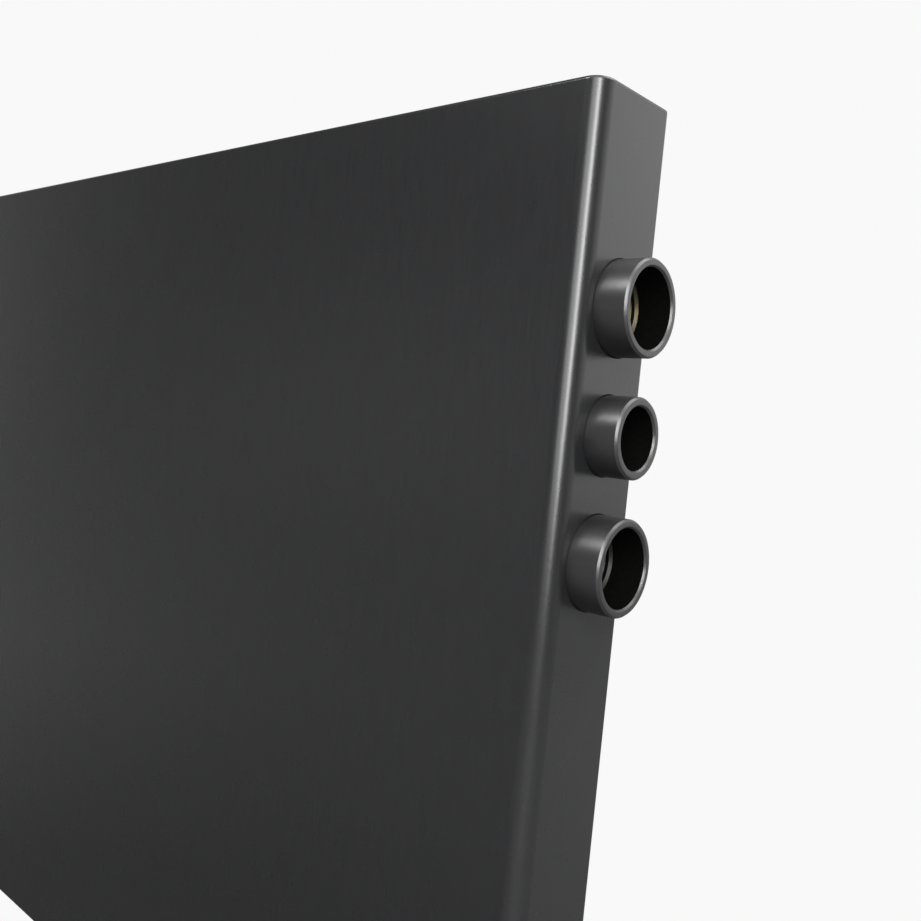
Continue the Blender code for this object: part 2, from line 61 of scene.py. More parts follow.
# ---- Casing -----------------------------------------------------------------------------------
# One tray of 1.5 mm steel sheet, folded to round edges, with a return flange all round its back.
# It is powder coated in a satin anthracite, and punched for the ports, the air slots and its screws.
def coat(name, colour, roughness, grain, streak):
    """Powder coat: fine orange-peel bump, a faint vertical drift in colour, uneven gloss."""
    surface = bpy.data.materials.new(name)
    surface.use_nodes = True
    nodes, links = surface.node_tree.nodes, surface.node_tree.links
    shader = nodes["Principled BSDF"]
    shader.inputs["IOR"].default_value = 1.50
    place = nodes.new("ShaderNodeTexCoord")
    stretch = nodes.new("ShaderNodeMapping")
    stretch.inputs["Scale"].default_value = (1.0, 1.0, 0.06)
    links.new(place.outputs["Object"], stretch.inputs["Vector"])
    drift = nodes.new("ShaderNodeTexNoise")
    drift.inputs["Scale"].default_value = 900.0
    drift.inputs["Detail"].default_value = 3.0
    links.new(stretch.outputs["Vector"], drift.inputs["Vector"])
    tone = nodes.new("ShaderNodeValToRGB")
    tone.color_ramp.elements[0].position = 0.30
    tone.color_ramp.elements[1].position = 0.70
    tone.color_ramp.elements[0].color = (*[part * (1 - streak) for part in colour], 1)
    tone.color_ramp.elements[1].color = (*[part * (1 + streak) for part in colour], 1)
    links.new(drift.outputs["Fac"], tone.inputs["Fac"])
    links.new(tone.outputs["Color"], shader.inputs["Base Color"])
    cloud = nodes.new("ShaderNodeTexNoise")
    cloud.inputs["Scale"].default_value = 35.0
    cloud.inputs["Detail"].default_value = 4.0
    links.new(place.outputs["Object"], cloud.inputs["Vector"])
    gloss = nodes.new("ShaderNodeMapRange")
    gloss.inputs["To Min"].default_value = roughness - 0.02
    gloss.inputs["To Max"].default_value = roughness + 0.03
    links.new(cloud.outputs["Fac"], gloss.inputs["Value"])
    links.new(gloss.outputs["Result"], shader.inputs["Roughness"])
    peel = nodes.new("ShaderNodeTexNoise")
    peel.inputs["Scale"].default_value = grain
    peel.inputs["Detail"].default_value = 4.0
    links.new(place.outputs["Object"], peel.inputs["Vector"])
    ripple = nodes.new("ShaderNodeBump")
    ripple.inputs["Strength"].default_value = 0.35
    ripple.inputs["Distance"].default_value = 0.00003
    links.new(peel.outputs["Fac"], ripple.inputs["Height"])
    links.new(ripple.outputs["Normal"], shader.inputs["Normal"])
    return surface


def put(piece, body, finish, slot, *nodes):
    """Give a new piece its finish and its body, and hide the plain parts it stands for. The slot argument is
    not used.
    """
    bpy.context.scene.collection.objects.link(piece)
    piece.data.materials.clear()
    piece.data.materials.append(finish)
    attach(piece, body)
    if nodes:
        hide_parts(*nodes)
    return piece


def box_mesh(low, high, rounds=()):
    """A box; rounds lists (test for an edge, radius, segments), done in turn."""
    mesh = bmesh.new()
    bmesh.ops.create_cube(mesh, size=1.0)
    bmesh.ops.scale(mesh, vec=[high[i] - low[i] for i in range(3)], verts=mesh.verts)
    bmesh.ops.translate(mesh, vec=[(high[i] + low[i]) / 2 for i in range(3)], verts=mesh.verts)
    for chosen, radius, segments in rounds:
        edges = [edge for edge in mesh.edges if chosen(edge.verts[0].co, edge.verts[1].co)]
        bmesh.ops.bevel(
            mesh, geom=edges, offset=radius, offset_type="OFFSET", segments=segments,
            profile=0.5, affect="EDGES", clamp_overlap=False,
        )
    return mesh


def made(name, mesh, smooth_below=32.0):
    """Close a bmesh into an object with smooth rounds and crisp corners."""
    data = bpy.data.meshes.new(name)
    mesh.to_mesh(data)
    mesh.free()
    data.shade_smooth()
    data.set_sharp_from_angle(angle=math.radians(smooth_below))
    return bpy.data.objects.new(name, data)


def punch(piece, tool):
    """Cut a tool's shape out of a piece for good, and drop the tool."""
    bpy.context.scene.collection.objects.link(tool)
    linked = piece.name in bpy.context.scene.collection.objects
    if not linked:
        bpy.context.scene.collection.objects.link(piece)
    cut = piece.modifiers.new("punch", "BOOLEAN")
    cut.object = tool
    cut.solver = "EXACT"
    bpy.context.view_layer.update()
    shown = piece.evaluated_get(bpy.context.evaluated_depsgraph_get())
    data = bpy.data.meshes.new_from_object(shown)
    piece.modifiers.clear()
    piece.data = data
    bpy.data.objects.remove(tool)
    if not linked:
        bpy.context.scene.collection.objects.unlink(piece)


def rod_mesh(radius, length, sides):
    """A plain round bar along its own Z, used as a punch."""
    mesh = bmesh.new()
    bmesh.ops.create_cone(
        mesh, cap_ends=True, segments=sides, radius1=radius, radius2=radius, depth=length,
    )
    return mesh


tray_low, tray_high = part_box("casing")
side_bend, edge_bend, sheet = 0.0104, 0.0021, 0.0015
tray = box_mesh(tray_low, tray_high, (
    (lambda a, b: max(a.y, b.y) < tray_low.y + 1e-6 and abs(a.x - b.x) < 1e-6, side_bend, 20),
    (lambda a, b: min(a.z, b.z) > tray_high.z - 1e-6 or max(a.z, b.z) < tray_low.z + 1e-6
        or min(a.y, b.y) > tray_high.y - 1e-6, edge_bend, 6),
))
casing = made("casing_skin", tray)
fold = casing.modifiers.new("sheet", "SOLIDIFY")
fold.thickness = sheet
fold.offset = -1.0
fold.use_even_offset = True
flow_low, flow_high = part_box("flow_collar")
port_line = (flow_low.y + flow_high.y) / 2
flange = 0.016
punch(casing, made("back_opening", box_mesh(
    (tray_low.x + flange, tray_high.y - 0.004, tray_low.z + flange),
    (tray_high.x - flange, tray_high.y + 0.004, tray_high.z - flange),
    ((lambda a, b: abs(a.x - b.x) < 1e-6 and abs(a.z - b.z) < 1e-6, 0.005, 8),),
)))
slot_x, slot_y = 0.322, 0.017
for level in (tray_low.z, tray_high.z):
    punch(casing, made("air_slot", box_mesh(
        (-slot_x, port_line - slot_y, level - 0.004), (slot_x, port_line + slot_y, level + 0.004),
        ((lambda a, b: abs(a.x - b.x) < 1e-6 and abs(a.y - b.y) < 1e-6, 0.003, 6),),
    )))
ports = {}
for port in ("flow", "service", "return"):
    collar_low, collar_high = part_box(port + "_collar")
    ports[port] = (collar_high.x, (collar_low.z + collar_high.z) / 2, (collar_high.z - collar_low.z) / 2)
    hole = made("port_hole", rod_mesh(ports[port][2] + 0.0005, 0.012, 128))
    hole.rotation_euler = (0, math.pi / 2, 0)
    hole.location = (tray_high.x, port_line, ports[port][1])
    punch(casing, hole)
for corner in ("upper_left", "upper_right", "lower_left", "lower_right"):
    head_low, head_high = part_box("casing_screw_" + corner)
    hole = made("screw_hole", rod_mesh(0.0025, 0.008, 32))
    hole.rotation_euler = (math.pi / 2, 0, 0)
    hole.location = ((head_low.x + head_high.x) / 2, tray_high.y, (head_low.z + head_high.z) / 2)
    punch(casing, hole)
casing.data.shade_smooth()
casing.data.set_sharp_from_angle(angle=math.radians(32))
even = casing.modifiers.new("even_faces", "WEIGHTED_NORMAL")
even.keep_sharp = True
anthracite = coat("anthracite_coat", (0.0092, 0.0094, 0.0100), 0.27, 1400.0, 0.12)
put(casing, "radiator", anthracite, "anthracite_coat", "casing")


# ---- Port collars -----------------------------------------------------------------------------
# Three turned steel sleeves, screwed into bosses on the header through clearance holes in the
# casing. Their mouths are chamfered inside and out, and they are coated like the casing.
def turned(name, outline, sides=96, smooth_below=28.0):
    """A ring turned about its own Z from a closed (radius, height) outline."""
    mesh = bmesh.new()
    rows = []
    for step in range(sides):
        angle = 2 * math.pi * step / sides
        rows.append([
            mesh.verts.new((radius * math.cos(angle), radius * math.sin(angle), height))
            for radius, height in outline
        ])
    count = len(outline)
    for step in range(sides):
        here, after = rows[step], rows[(step + 1) % sides]
        for spot in range(count):
            beyond = (spot + 1) % count
            mesh.faces.new((here[spot], here[beyond], after[beyond], after[spot]))
    bmesh.ops.remove_doubles(mesh, verts=mesh.verts, dist=1e-7)
    bmesh.ops.recalc_face_normals(mesh, faces=mesh.faces)
    return made(name, mesh, smooth_below)


def eased(corner, before, after, radius, steps=4):
    """Points that round one corner of an outline between its two neighbours."""
    corner, before, after = Vector(corner), Vector(before), Vector(after)
    start = corner + (before - corner).normalized() * radius
    end = corner + (after - corner).normalized() * radius
    points = []
    for step in range(steps + 1):
        share = step / steps
        spot = start * (1 - share) ** 2 + corner * 2 * share * (1 - share) + end * share ** 2
        points.append((spot.x, spot.y))
    return points


def eased_outline(outline, radius):
    """Round every corner of a closed outline, less on short sides."""
    points = []
    count = len(outline)
    for spot in range(count):
        before, after = outline[spot - 1], outline[(spot + 1) % count]
        shortest = min((Vector(outline[spot]) - Vector(other)).length for other in (before, after))
        points += eased(outline[spot], before, after, min(radius, shortest * 0.42))
    return points


collar_coat = coat("collar_coat", (0.0125, 0.0125, 0.0127), 0.34, 2200.0, 0.10)
inside = collar_coat.node_tree
inside.nodes["Principled BSDF"].inputs["IOR"].default_value = 1.56
# Painted shade: faces that look into the bore get a near-black diffuse with faint random variation in place
# of the coat, standing in for the shade inside the bore.
spot = inside.nodes.new("ShaderNodeTexCoord")
spoke = inside.nodes.new("ShaderNodeVectorMath")
spoke.operation = "MULTIPLY"
spoke.inputs[1].default_value = (1, 1, 0)
inside.links.new(spot.outputs["Object"], spoke.inputs[0])
outward = inside.nodes.new("ShaderNodeVectorMath")
outward.operation = "NORMALIZE"
inside.links.new(spoke.outputs["Vector"], outward.inputs[0])
turned_in = inside.nodes.new("ShaderNodeVectorMath")
turned_in.operation = "DOT_PRODUCT"
inside.links.new(outward.outputs["Vector"], turned_in.inputs[0])
inside.links.new(spot.outputs["Normal"], turned_in.inputs[1])
bore_shade_mask = inside.nodes.new("ShaderNodeMapRange")
bore_shade_mask.inputs["From Min"].default_value = -0.96
bore_shade_mask.inputs["From Max"].default_value = -0.86
bore_shade_mask.inputs["To Min"].default_value = 1.0
bore_shade_mask.inputs["To Max"].default_value = 0.0
inside.links.new(turned_in.outputs["Value"], bore_shade_mask.inputs["Value"])
painted_bore_shade = inside.nodes.new("ShaderNodeBsdfDiffuse")
bore_shade_noise = inside.nodes.new("ShaderNodeTexNoise")
bore_shade_noise.inputs["Scale"].default_value = 700.0
bore_shade_tone = inside.nodes.new("ShaderNodeValToRGB")
bore_shade_tone.color_ramp.elements[0].color = (0.0012, 0.0012, 0.0011, 1)
bore_shade_tone.color_ramp.elements[1].color = (0.0038, 0.0037, 0.0035, 1)
inside.links.new(spot.outputs["Object"], bore_shade_noise.inputs["Vector"])
inside.links.new(bore_shade_noise.outputs["Fac"], bore_shade_tone.inputs["Fac"])
inside.links.new(bore_shade_tone.outputs["Color"], painted_bore_shade.inputs["Color"])
coat_or_bore_shade = inside.nodes.new("ShaderNodeMixShader")
inside.links.new(bore_shade_mask.outputs["Result"], coat_or_bore_shade.inputs["Fac"])
inside.links.new(inside.nodes["Principled BSDF"].outputs["BSDF"], coat_or_bore_shade.inputs[1])
inside.links.new(painted_bore_shade.outputs["BSDF"], coat_or_bore_shade.inputs[2])
inside.links.new(coat_or_bore_shade.outputs["Shader"], inside.nodes["Material Output"].inputs["Surface"])
for port, (mouth, level, outer) in ports.items():
    wall = 0.0046 if port == "service" else 0.00435
    bore = outer - wall
    shank = outer - 0.00165
    shoulder, inner_end = 0.345, 0.3283
    collar = turned(port + "_port_collar", eased_outline((
        (outer - 0.0010, mouth), (outer, mouth - 0.0012), (outer, shoulder), (shank, shoulder),
        (shank, inner_end), (bore, inner_end), (bore, mouth - 0.0011), (bore + 0.0009, mouth),
    ), 0.00012), 128)
    collar.rotation_euler = (0, math.pi / 2, 0)
    collar.location = (0, port_line, level)
    put(collar, "radiator", collar_coat, "collar_coat", port + "_collar")


# ---- Port inserts -----------------------------------------------------------------------------
# A threaded bush pressed deep into each port: brass in the flow port, steel in the others. Its
# chamfered lip is the bright ring seen inside the mouth.
def metal(name, colour, roughness, marks, marking):
    """Bare metal: turning marks across it, cloudy tarnish and uneven polish."""
    surface = bpy.data.materials.new(name)
    surface.use_nodes = True
    nodes, links = surface.node_tree.nodes, surface.node_tree.links
    shader = nodes["Principled BSDF"]
    shader.inputs["Metallic"].default_value = 1.0
    place = nodes.new("ShaderNodeTexCoord")
    stain = nodes.new("ShaderNodeTexNoise")
    stain.inputs["Scale"].default_value = 60.0
    stain.inputs["Detail"].default_value = 5.0
    stain.inputs["Roughness"].default_value = 0.62
    links.new(place.outputs["Object"], stain.inputs["Vector"])
    tint = nodes.new("ShaderNodeValToRGB")
    tint.color_ramp.elements[0].position = 0.34
    tint.color_ramp.elements[1].position = 0.68
    tint.color_ramp.elements[0].color = (*[part * 0.72 for part in colour], 1)
    tint.color_ramp.elements[1].color = (*colour, 1)
    links.new(stain.outputs["Fac"], tint.inputs["Fac"])
    links.new(tint.outputs["Color"], shader.inputs["Base Color"])
    polish = nodes.new("ShaderNodeMapRange")
    polish.inputs["To Min"].default_value = roughness + 0.10
    polish.inputs["To Max"].default_value = roughness - 0.06
    links.new(stain.outputs["Fac"], polish.inputs["Value"])
    links.new(polish.outputs["Result"], shader.inputs["Roughness"])
    lines = nodes.new("ShaderNodeTexNoise")
    lines.inputs["Scale"].default_value = marks
    lines.inputs["Detail"].default_value = 3.0
    along = nodes.new("ShaderNodeMapping")
    along.inputs["Scale"].default_value = marking
    links.new(place.outputs["Object"], along.inputs["Vector"])
    links.new(along.outputs["Vector"], lines.inputs["Vector"])
    score = nodes.new("ShaderNodeBump")
    score.inputs["Strength"].default_value = 0.30
    score.inputs["Distance"].default_value = 0.00002
    links.new(lines.outputs["Fac"], score.inputs["Height"])
    links.new(score.outputs["Normal"], shader.inputs["Normal"])
    return surface


# Painted shade: the inserts' brass and steel are drawn far darker than the vent's brass and the plain steel,
# standing in for the shade deep in the bores.
brass = metal("brass", (0.050, 0.043, 0.027), 0.44, 1500.0, (0.1, 0.1, 1.0))
shaded_steel = metal("shaded_steel", (0.026, 0.026, 0.025), 0.44, 1500.0, (0.1, 0.1, 1.0))
steel = metal("steel", (0.40, 0.40, 0.39), 0.38, 1500.0, (0.1, 0.1, 1.0))
for port, (mouth, level, outer) in ports.items():
    seat_low, seat_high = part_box(port + "_insert")
    shell = (seat_high.z - seat_low.z) / 2
    crest, lip, inner = shell - 0.0016, seat_high.x, seat_low.x
    pitch, depth = 0.0023, 0.0009
    profile = [(shell, lip - 0.0003), (shell, inner), (crest, inner)]
    turns = int((lip - 0.0022 - inner) / pitch)
    for turn in range(turns):
        foot = inner + 0.0004 + turn * pitch
        profile += [
            (crest, foot), (crest + depth, foot + pitch * 0.42),
            (crest + depth, foot + pitch * 0.50), (crest, foot + pitch * 0.92),
        ]
    profile += [(crest, lip - 0.0014), (crest + 0.0012, lip), (shell - 0.0003, lip)]
    insert = turned(port + "_port_insert", profile, 96, 24.0)
    insert.rotation_euler = (0, math.pi / 2, 0)
    insert.location = (0, port_line, level)
    finish, name = (brass, "brass") if port == "flow" else (shaded_steel, "steel")
    put(insert, "radiator", finish, name, port + "_insert")


# ---- Port bosses and seals --------------------------------------------------------------------
# Primed steel rings, fillet welded to the right header, which the collars screw into. A red fibre
# ring is pinched between each boss and its collar's shoulder, and a soft rubber ring behind the
# casing keeps dust and light out of the port's hole.
def primed(name, colour, roughness):
    """Dip primer: matt, clouded, with a fine tooth and thin runs."""
    surface = bpy.data.materials.new(name)
    surface.use_nodes = True
    nodes, links = surface.node_tree.nodes, surface.node_tree.links
    shader = nodes["Principled BSDF"]
    place = nodes.new("ShaderNodeTexCoord")
    runs = nodes.new("ShaderNodeMapping")
    runs.inputs["Scale"].default_value = (1.0, 1.0, 0.18)
    links.new(place.outputs["Object"], runs.inputs["Vector"])
    cloud = nodes.new("ShaderNodeTexNoise")
    cloud.inputs["Scale"].default_value = 85.0
    cloud.inputs["Detail"].default_value = 6.0
    links.new(runs.outputs["Vector"], cloud.inputs["Vector"])
    tone = nodes.new("ShaderNodeValToRGB")
    tone.color_ramp.elements[0].position = 0.32
    tone.color_ramp.elements[1].position = 0.72
    tone.color_ramp.elements[0].color = (*[part * 0.74 for part in colour], 1)
    tone.color_ramp.elements[1].color = (*[part * 1.30 for part in colour], 1)
    links.new(cloud.outputs["Fac"], tone.inputs["Fac"])
    links.new(tone.outputs["Color"], shader.inputs["Base Color"])
    sheen = nodes.new("ShaderNodeMapRange")
    sheen.inputs["To Min"].default_value = roughness - 0.08
    sheen.inputs["To Max"].default_value = roughness + 0.10
    links.new(cloud.outputs["Fac"], sheen.inputs["Value"])
    links.new(sheen.outputs["Result"], shader.inputs["Roughness"])
    tooth = nodes.new("ShaderNodeTexNoise")
    tooth.inputs["Scale"].default_value = 1900.0
    tooth.inputs["Detail"].default_value = 3.0
    links.new(place.outputs["Object"], tooth.inputs["Vector"])
    grit = nodes.new("ShaderNodeBump")
    grit.inputs["Strength"].default_value = 0.5
    grit.inputs["Distance"].default_value = 0.00004
    links.new(tooth.outputs["Fac"], grit.inputs["Height"])
    links.new(grit.outputs["Normal"], shader.inputs["Normal"])
    return surface


def soft_stuff(name, colour, fleck, roughness, grain):
    """Rubber, fibre or moulded plastic: flecked colour and a fine grain."""
    surface = bpy.data.materials.new(name)
    surface.use_nodes = True
    nodes, links = surface.node_tree.nodes, surface.node_tree.links
    shader = nodes["Principled BSDF"]
    place = nodes.new("ShaderNodeTexCoord")
    speck = nodes.new("ShaderNodeTexNoise")
    speck.inputs["Scale"].default_value = grain
    speck.inputs["Detail"].default_value = 4.0
    links.new(place.outputs["Object"], speck.inputs["Vector"])
    tone = nodes.new("ShaderNodeValToRGB")
    tone.color_ramp.elements[0].position = 0.38
    tone.color_ramp.elements[1].position = 0.66
    tone.color_ramp.elements[0].color = (*colour, 1)
    tone.color_ramp.elements[1].color = (*fleck, 1)
    links.new(speck.outputs["Fac"], tone.inputs["Fac"])
    links.new(tone.outputs["Color"], shader.inputs["Base Color"])
    matt = nodes.new("ShaderNodeMapRange")
    matt.inputs["To Min"].default_value = roughness - 0.07
    matt.inputs["To Max"].default_value = roughness + 0.07
    links.new(speck.outputs["Fac"], matt.inputs["Value"])
    links.new(matt.outputs["Result"], shader.inputs["Roughness"])
    texture = nodes.new("ShaderNodeBump")
    texture.inputs["Strength"].default_value = 0.4
    texture.inputs["Distance"].default_value = 0.00005
    links.new(speck.outputs["Fac"], texture.inputs["Height"])
    links.new(texture.outputs["Normal"], shader.inputs["Normal"])
    return surface


def bead(name, path, radius, ripple=0.0012):
    """A weld bead along a closed path: a low round run with overlapping scales."""
    mesh = bmesh.new()
    points = []
    count = len(path)
    for spot in range(count):
        start, end = Vector(path[spot]), Vector(path[(spot + 1) % count])
        steps = max(1, round((end - start).length / (ripple / 2)))
        points += [start.lerp(end, step / steps) for step in range(steps)]
    count = len(points)
    rings = []
    for spot, centre in enumerate(points):
        run = (points[(spot + 1) % count] - points[spot - 1]).normalized()
        side = run.orthogonal() if abs(run.y) > 0.9 else run.cross(Vector((0, 1, 0))).normalized()
        side.normalize()
        up = run.cross(side)
        swell = radius * (1.0 + 0.16 * math.sin(spot * 2.1) + 0.08 * math.sin(spot * 0.37))
        rings.append([
            mesh.verts.new(centre + (side * math.cos(a) + up * math.sin(a)) * swell)
            for a in (2 * math.pi * turn / 8 for turn in range(8))
        ])
    for spot in range(count):
        here, after = rings[spot], rings[(spot + 1) % count]
        for turn in range(8):
            beyond = (turn + 1) % 8
            mesh.faces.new((here[turn], here[beyond], after[beyond], after[turn]))
    bmesh.ops.recalc_face_normals(mesh, faces=mesh.faces)
    return made(name, mesh, 60.0)


primer = primed("primer", (0.040, 0.042, 0.045), 0.56)
rubber = soft_stuff("foot_rubber", (0.012, 0.012, 0.012), (0.020, 0.020, 0.021), 0.80, 1400.0)
fibre = soft_stuff("seal_fibre", (0.150, 0.040, 0.028), (0.230, 0.075, 0.050), 0.84, 900.0)
for port, (mouth, level, outer) in ports.items():
    ring_low, ring_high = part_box(port + "_boss")
    rim = (ring_high.z - ring_low.z) / 2
    hole = outer - 0.00165 + 0.0003
    boss = turned(port + "_port_boss", eased_outline((
        (rim - 0.0008, ring_high.x), (rim, ring_high.x - 0.0008), (rim, ring_low.x),
        (hole, ring_low.x), (hole, ring_high.x),
    ), 0.0003), 96)
    boss.rotation_euler = (0, math.pi / 2, 0)
    boss.location = (0, port_line, level)
    put(boss, "radiator", primer, "primer", port + "_boss")
    run = bead(port + "_boss_weld", [
        (0, (rim + 0.0003) * math.cos(a), (rim + 0.0003) * math.sin(a))
        for a in (2 * math.pi * step / 120 for step in range(120))
    ], 0.0012)
    run.location = (ring_low.x + 0.0008, port_line, level)
    put(run, "radiator", primer, "primer")
    seal_low, seal_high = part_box(port + "_seal")
    seal = turned(port + "_port_seal", eased_outline((
        (outer, seal_high.x), (outer, seal_low.x), (hole, seal_low.x), (hole, seal_high.x),
    ), 0.0003), 96)
    seal.rotation_euler = (0, math.pi / 2, 0)
    seal.location = (0, port_line, level)
    put(seal, "radiator", fibre, "seal_fibre", port + "_seal")
    backing = turned(port + "_dust_ring", eased_outline((
        (outer + 0.0027, 0.3482), (outer + 0.0027, 0.3449), (outer + 0.0003, 0.3449),
        (outer + 0.0003, 0.3482),
    ), 0.0003), 96)
    backing.rotation_euler = (0, math.pi / 2, 0)
    backing.location = (0, port_line, level)
    put(backing, "radiator", rubber, "foot_rubber")


# ---- Headers and end caps ---------------------------------------------------------------------
# Two upright square steel tubes that carry the water to and from the flat tubes. Plates are welded
# over their ends; the whole core is dipped in dark primer after welding.
def eased_copy(name, node, radius, crease=38.0, segments=2):
    """A part's own shape with its sharp edges eased, as pressing or tumbling leaves them."""
    mesh = bmesh.new()
    mesh.from_mesh(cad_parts[node].data)
    bmesh.ops.remove_doubles(mesh, verts=mesh.verts, dist=1e-6)
    bmesh.ops.dissolve_limit(
        mesh, angle_limit=math.radians(0.6), verts=mesh.verts, edges=mesh.edges,
    )
    data = bpy.data.meshes.new(name)
    mesh.to_mesh(data)
    mesh.free()
    piece = bpy.data.objects.new(name, data)
    ease = piece.modifiers.new("eased_edges", "BEVEL")
    ease.width = radius
    ease.segments = segments
    ease.limit_method = "ANGLE"
    ease.angle_limit = math.radians(crease)
    data.shade_smooth()
    data.set_sharp_from_angle(angle=math.radians(30))
    flat = piece.modifiers.new("even_faces", "WEIGHTED_NORMAL")
    flat.keep_sharp = True
    return piece


for hand in ("left", "right"):
    put(eased_copy(f"{hand}_header_tube", f"header_{hand}", 0.0003), "radiator", primer, "primer",
        f"header_{hand}")
    for end in ("top", "bottom"):
        cap_node = f"header_{hand}_{end}_cap"
        put(eased_copy(f"{hand}_{end}_end_plate", cap_node, 0.0005), "radiator", primer, "primer",
            cap_node)
        cap_low, cap_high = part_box(cap_node)
        joint = cap_low.z if end == "top" else cap_high.z
        inset, corner = 0.0004, 0.0038
        path = []
        for x, y, start in (
            (cap_high.x, cap_high.y, 0), (cap_low.x, cap_high.y, 90),
            (cap_low.x, cap_low.y, 180), (cap_high.x, cap_low.y, 270),
        ):
            for step in range(7):
                angle = math.radians(start + 15 * step)
                centre_x = x - math.copysign(corner + inset, x - (cap_low.x + cap_high.x) / 2)
                centre_y = y - math.copysign(corner + inset, y - (cap_low.y + cap_high.y) / 2)
                path.append((centre_x + corner * math.cos(angle), centre_y + corner * math.sin(angle), joint))
        put(bead(f"{hand}_{end}_plate_weld", path, 0.0010), "radiator", primer, "primer")


# ---- Flat tubes -------------------------------------------------------------------------------
# Seven oval steel tubes that carry the water across, each welded into a slot in both headers.
for number in range(1, 8):
    tube_low, tube_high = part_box(f"flat_tube_{number}")
    deep, tall = (tube_high.y - tube_low.y) / 2, (tube_high.z - tube_low.z) / 2
    mesh = bmesh.new()
    outline = []
    for end in (1, -1):
        for step in range(17):
            angle = math.pi * step / 16
            outline.append((end * deep * math.cos(angle), end * (tall - deep + deep * math.sin(angle))))
    wall = 0.0015
    loops = []
    for x in (tube_low.x, tube_high.x):
        for shrink in (0.0, wall):
            loops.append([mesh.verts.new((
                x, y * (deep - shrink) / deep,
                math.copysign(abs(z) - shrink * max(0.0, (abs(z) - (tall - deep)) / deep), z),
            )) for y, z in outline])
    outer_near, inner_near, outer_far, inner_far = loops
    count = len(outline)
    for first, second in (
        (outer_near, outer_far), (outer_far, inner_far), (inner_far, inner_near), (inner_near, outer_near),
    ):
        for spot in range(count):
            beyond = (spot + 1) % count
            mesh.faces.new((first[spot], first[beyond], second[beyond], second[spot]))
    bmesh.ops.recalc_face_normals(mesh, faces=mesh.faces)
    tube = made(f"water_tube_{number}", mesh, 40.0)
    tube.location = (0, (tube_low.y + tube_high.y) / 2, (tube_low.z + tube_high.z) / 2)
    put(tube, "radiator", primer, "primer", f"flat_tube_{number}")
    for hand, x in (("left", tube_low.x), ("right", tube_high.x)):
        toe = bead(f"tube_{number}_{hand}_weld", [
            (x, y + tube.location.y, z + tube.location.z) for y, z in outline
        ], 0.0007, 0.0016)
        put(toe, "radiator", primer, "primer")


# ---- Convector sheet --------------------------------------------------------------------------
# One thin galvanised sheet, folded to and fro with rounded creases, and spot welded to the backs of
# the tubes. The zinc shows its crystal spangle.
def galvanised(name, colour, roughness, flake):
    """Dipped or plated zinc: crystal flakes that differ in tint and gloss."""
    surface = bpy.data.materials.new(name)
    surface.use_nodes = True
    nodes, links = surface.node_tree.nodes, surface.node_tree.links
    shader = nodes["Principled BSDF"]
    shader.inputs["Metallic"].default_value = 1.0
    place = nodes.new("ShaderNodeTexCoord")
    bend = nodes.new("ShaderNodeTexNoise")
    bend.inputs["Scale"].default_value = flake * 1.5
    links.new(place.outputs["Object"], bend.inputs["Vector"])
    mixed = nodes.new("ShaderNodeMix")
    mixed.data_type = "VECTOR"
    mixed.inputs["Factor"].default_value = 0.02
    links.new(place.outputs["Object"], mixed.inputs[4])
    links.new(bend.outputs["Color"], mixed.inputs[5])
    spangle = nodes.new("ShaderNodeTexVoronoi")
    spangle.inputs["Scale"].default_value = flake
    links.new(mixed.outputs[1], spangle.inputs["Vector"])
    shade = nodes.new("ShaderNodeSeparateColor")
    links.new(spangle.outputs["Color"], shade.inputs["Color"])
    tone = nodes.new("ShaderNodeValToRGB")
    tone.color_ramp.elements[0].color = (*[part * 0.78 for part in colour], 1)
    tone.color_ramp.elements[1].color = (*colour, 1)
    links.new(shade.outputs["Red"], tone.inputs["Fac"])
    links.new(tone.outputs["Color"], shader.inputs["Base Color"])
    gloss = nodes.new("ShaderNodeMapRange")
    gloss.inputs["To Min"].default_value = roughness - 0.08
    gloss.inputs["To Max"].default_value = roughness + 0.12
    links.new(shade.outputs["Green"], gloss.inputs["Value"])
    links.new(gloss.outputs["Result"], shader.inputs["Roughness"])
    dull = nodes.new("ShaderNodeTexNoise")
    dull.inputs["Scale"].default_value = 700.0
    dull.inputs["Detail"].default_value = 4.0
    links.new(place.outputs["Object"], dull.inputs["Vector"])
    frost = nodes.new("ShaderNodeBump")
    frost.inputs["Strength"].default_value = 0.25
    frost.inputs["Distance"].default_value = 0.00003
    links.new(dull.outputs["Fac"], frost.inputs["Height"])
    links.new(frost.outputs["Normal"], shader.inputs["Normal"])
    return surface


spangled = galvanised("convector_zinc", (0.58, 0.60, 0.62), 0.42, 160.0)
fin_low, fin_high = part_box("convector_sheet")
fold_front, fold_back = fin_low.y + 0.0003, fin_high.y - 0.0003
trace = []
for number in range(18):
    start = fin_low.x + number * 0.030
    trace += [(start, fold_front), (start + 0.010, fold_front), (start + 0.014, fold_back),
              (start + 0.026, fold_back)]
creased = [trace[0]]
for before, corner, after in zip(trace, trace[1:], trace[2:]):
    creased += eased(corner, before, after, 0.0016, 5)
creased.append(trace[-1])
mesh = bmesh.new()
layers = []
for level in (fin_low.z, fin_high.z):
    for shift in (-1, 1):
        row = []
        for spot, (x, y) in enumerate(creased):
            before = creased[max(spot - 1, 0)]
            after = creased[min(spot + 1, len(creased) - 1)]
            run = Vector((after[0] - before[0], after[1] - before[1])).normalized()
            row.append(mesh.verts.new((x - run.y * shift * 0.0003, y + run.x * shift * 0.0003, level)))
        layers.append(row)
low_front, low_back, high_front, high_back = layers
for first, second in (
    (low_front, high_front), (high_front, high_back), (high_back, low_back), (low_back, low_front),
):
    for spot in range(len(creased) - 1):
        mesh.faces.new((first[spot], first[spot + 1], second[spot + 1], second[spot]))
for spot in (0, len(creased) - 1):
    mesh.faces.new((low_front[spot], low_back[spot], high_back[spot], high_front[spot]))
bmesh.ops.recalc_face_normals(mesh, faces=mesh.faces)
put(made("folded_convector", mesh, 50.0), "radiator", spangled, "convector_zinc", "convector_sheet")
mesh = bmesh.new()
